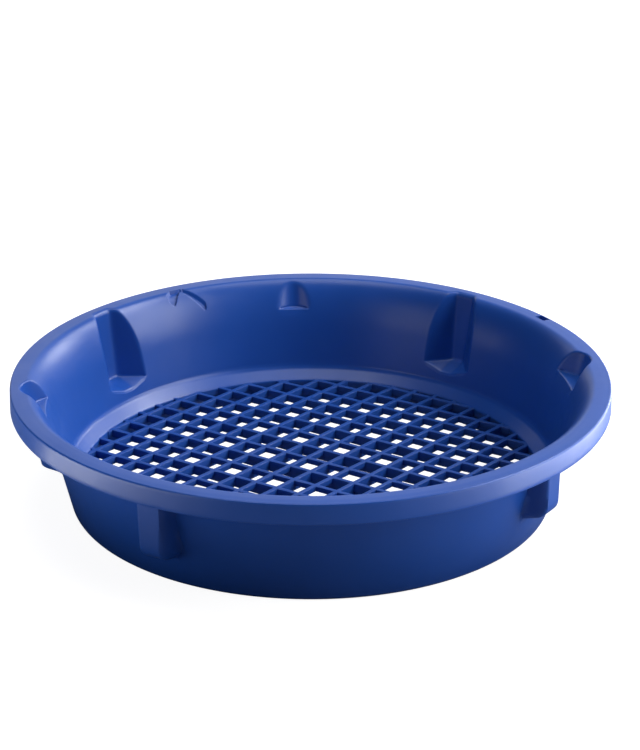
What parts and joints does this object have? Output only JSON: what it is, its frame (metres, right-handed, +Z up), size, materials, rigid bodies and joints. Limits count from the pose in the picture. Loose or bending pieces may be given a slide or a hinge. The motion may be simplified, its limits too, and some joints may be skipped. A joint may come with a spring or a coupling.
{
  "type": "classifier sieve",
  "caption": "Round moulded classifier sieve: tapered dish with a rolled rim, stacking pockets pressed out of the wall and an open lattice bottom of crossing ribs.",
  "frame": {"origin": "on the ground plane, on the dish's axis, at the centre of the foot's underside", "axes": "+Z up along the dish's axis, out of its open mouth; +X to the right and -Y towards the front, the side the dish is seen from"},
  "size_m": [0.3706, 0.3706, 0.078],
  "materials": {
    "plastic": "satin moulded navy blue polypropylene"
  },
  "bodies": {
    "root": {"rim_flange": "plastic", "rim_skirt": "plastic", "bowl_wall": "plastic", "seat_ring": "plastic", "foot_ring": "plastic", "sieve_lattice": "plastic", "deep_ribs": "plastic", "stacking_pocket_rear_right": "plastic", "stacking_pocket_rear_left": "plastic", "stacking_pocket_front_left": "plastic", "stacking_pocket_front_right": "plastic", "side_scoop_right": "plastic", "side_scoop_left": "plastic", "end_notch_rear": "plastic", "end_notch_front": "plastic", "scoop_leg_right": "plastic", "scoop_leg_left": "plastic"}
  },
  "joints": []
}
